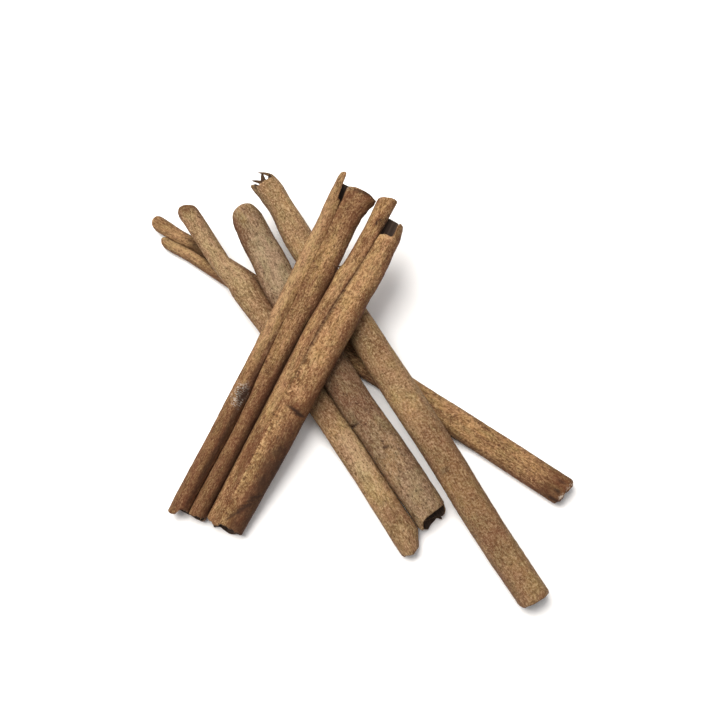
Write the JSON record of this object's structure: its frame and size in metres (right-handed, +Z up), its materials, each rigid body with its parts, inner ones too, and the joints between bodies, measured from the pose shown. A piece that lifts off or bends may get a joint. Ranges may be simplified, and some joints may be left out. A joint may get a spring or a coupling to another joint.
{
  "type": "cinnamon stick stack",
  "caption": "Loose stack of dried cinnamon sticks: rolled bark quills lying crossed over one another, some curled from both edges, with torn ends.",
  "frame": {"origin": "centre of the bounding box in plan, at the height of the surface that the stack lies on", "axes": "+Z up from the surface; +Y away from the viewer, towards the raised ends of the leaning quills; +X to the viewer's right"},
  "size_m": [0.1254, 0.1349, 0.0286],
  "materials": {
    "tan_bark": "dry, matt, scraped bark with fine fibres",
    "red_bark": "dry, matt, darker red-brown scraped bark",
    "pale_bark": "dry, matt, pale yellow-tan scraped bark",
    "grey_bark": "dry, matt, grey-brown bark with dark blotches"
  },
  "bodies": {
    "root": {"leaning_quill_left": "tan_bark", "leaning_quill_right": "red_bark", "crossing_quill_left": "pale_bark", "crossing_quill_middle": "grey_bark", "crossing_quill_right": "pale_bark", "lowest_quill": "tan_bark"}
  },
  "joints": []
}
